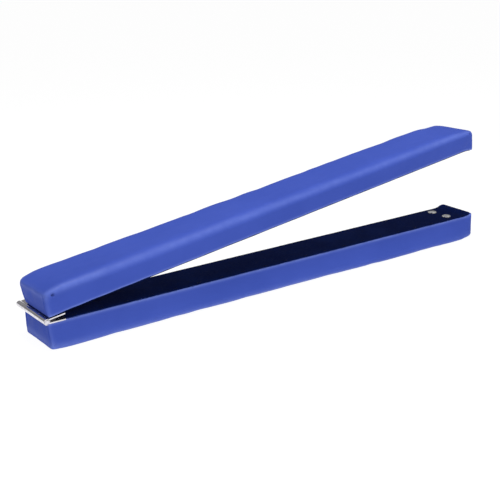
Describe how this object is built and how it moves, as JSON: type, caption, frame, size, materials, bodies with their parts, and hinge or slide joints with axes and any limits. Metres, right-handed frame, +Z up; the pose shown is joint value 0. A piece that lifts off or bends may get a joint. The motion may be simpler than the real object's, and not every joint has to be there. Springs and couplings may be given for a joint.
{
  "type": "folding balance beam",
  "caption": "Long padded floor balance beam that folds in half on a steel butt hinge, with blue vinyl walking faces and black anti-slip undersides.",
  "frame": {"origin": "middle of the lower half's padded face, on the floor", "axes": "+X along the beam from the hinge to the free ends, +Y across the beam, +Z up from the floor"},
  "size_m": [0.9239, 0.1063, 0.218],
  "materials": {
    "blue_vinyl": "satin",
    "black_backing": "matte",
    "foam": "matte",
    "core_pine": "matte",
    "hinge_steel": "satin",
    "pin_steel": "satin",
    "screw_steel": "gloss",
    "glide_nickel": "gloss"
  },
  "bodies": {
    "lower_half": {"lower_core_board": "core_pine", "lower_foam_pad": "foam", "lower_vinyl_cover": "blue_vinyl", "lower_backing_sheet": "black_backing", "lower_hinge_leaf": "hinge_steel", "lower_hinge_screw_1": "screw_steel", "lower_hinge_screw_2": "screw_steel", "lower_hinge_screw_3": "screw_steel", "lower_hinge_screw_4": "screw_steel", "lower_glide_cap_1": "glide_nickel", "lower_glide_screw_1": "screw_steel", "lower_glide_cap_2": "glide_nickel", "lower_glide_screw_2": "screw_steel", "hinge_pin": "pin_steel"},
    "upper_half": {"upper_core_board": "core_pine", "upper_foam_pad": "foam", "upper_vinyl_cover": "blue_vinyl", "upper_backing_sheet": "black_backing", "upper_hinge_leaf": "hinge_steel", "upper_hinge_screw_1": "screw_steel", "upper_hinge_screw_2": "screw_steel", "upper_hinge_screw_3": "screw_steel", "upper_hinge_screw_4": "screw_steel", "upper_glide_cap_1": "glide_nickel", "upper_glide_screw_1": "screw_steel", "upper_glide_cap_2": "glide_nickel", "upper_glide_screw_2": "screw_steel"}
  },
  "joints": [
    {"name": "fold", "type": "hinge", "parent": "lower_half", "child": "upper_half", "pos_m": [-0.4622, 0, 0.0476], "axis": [0, -1, 0], "range_deg": [-7.9, 172.1]}
  ]
}
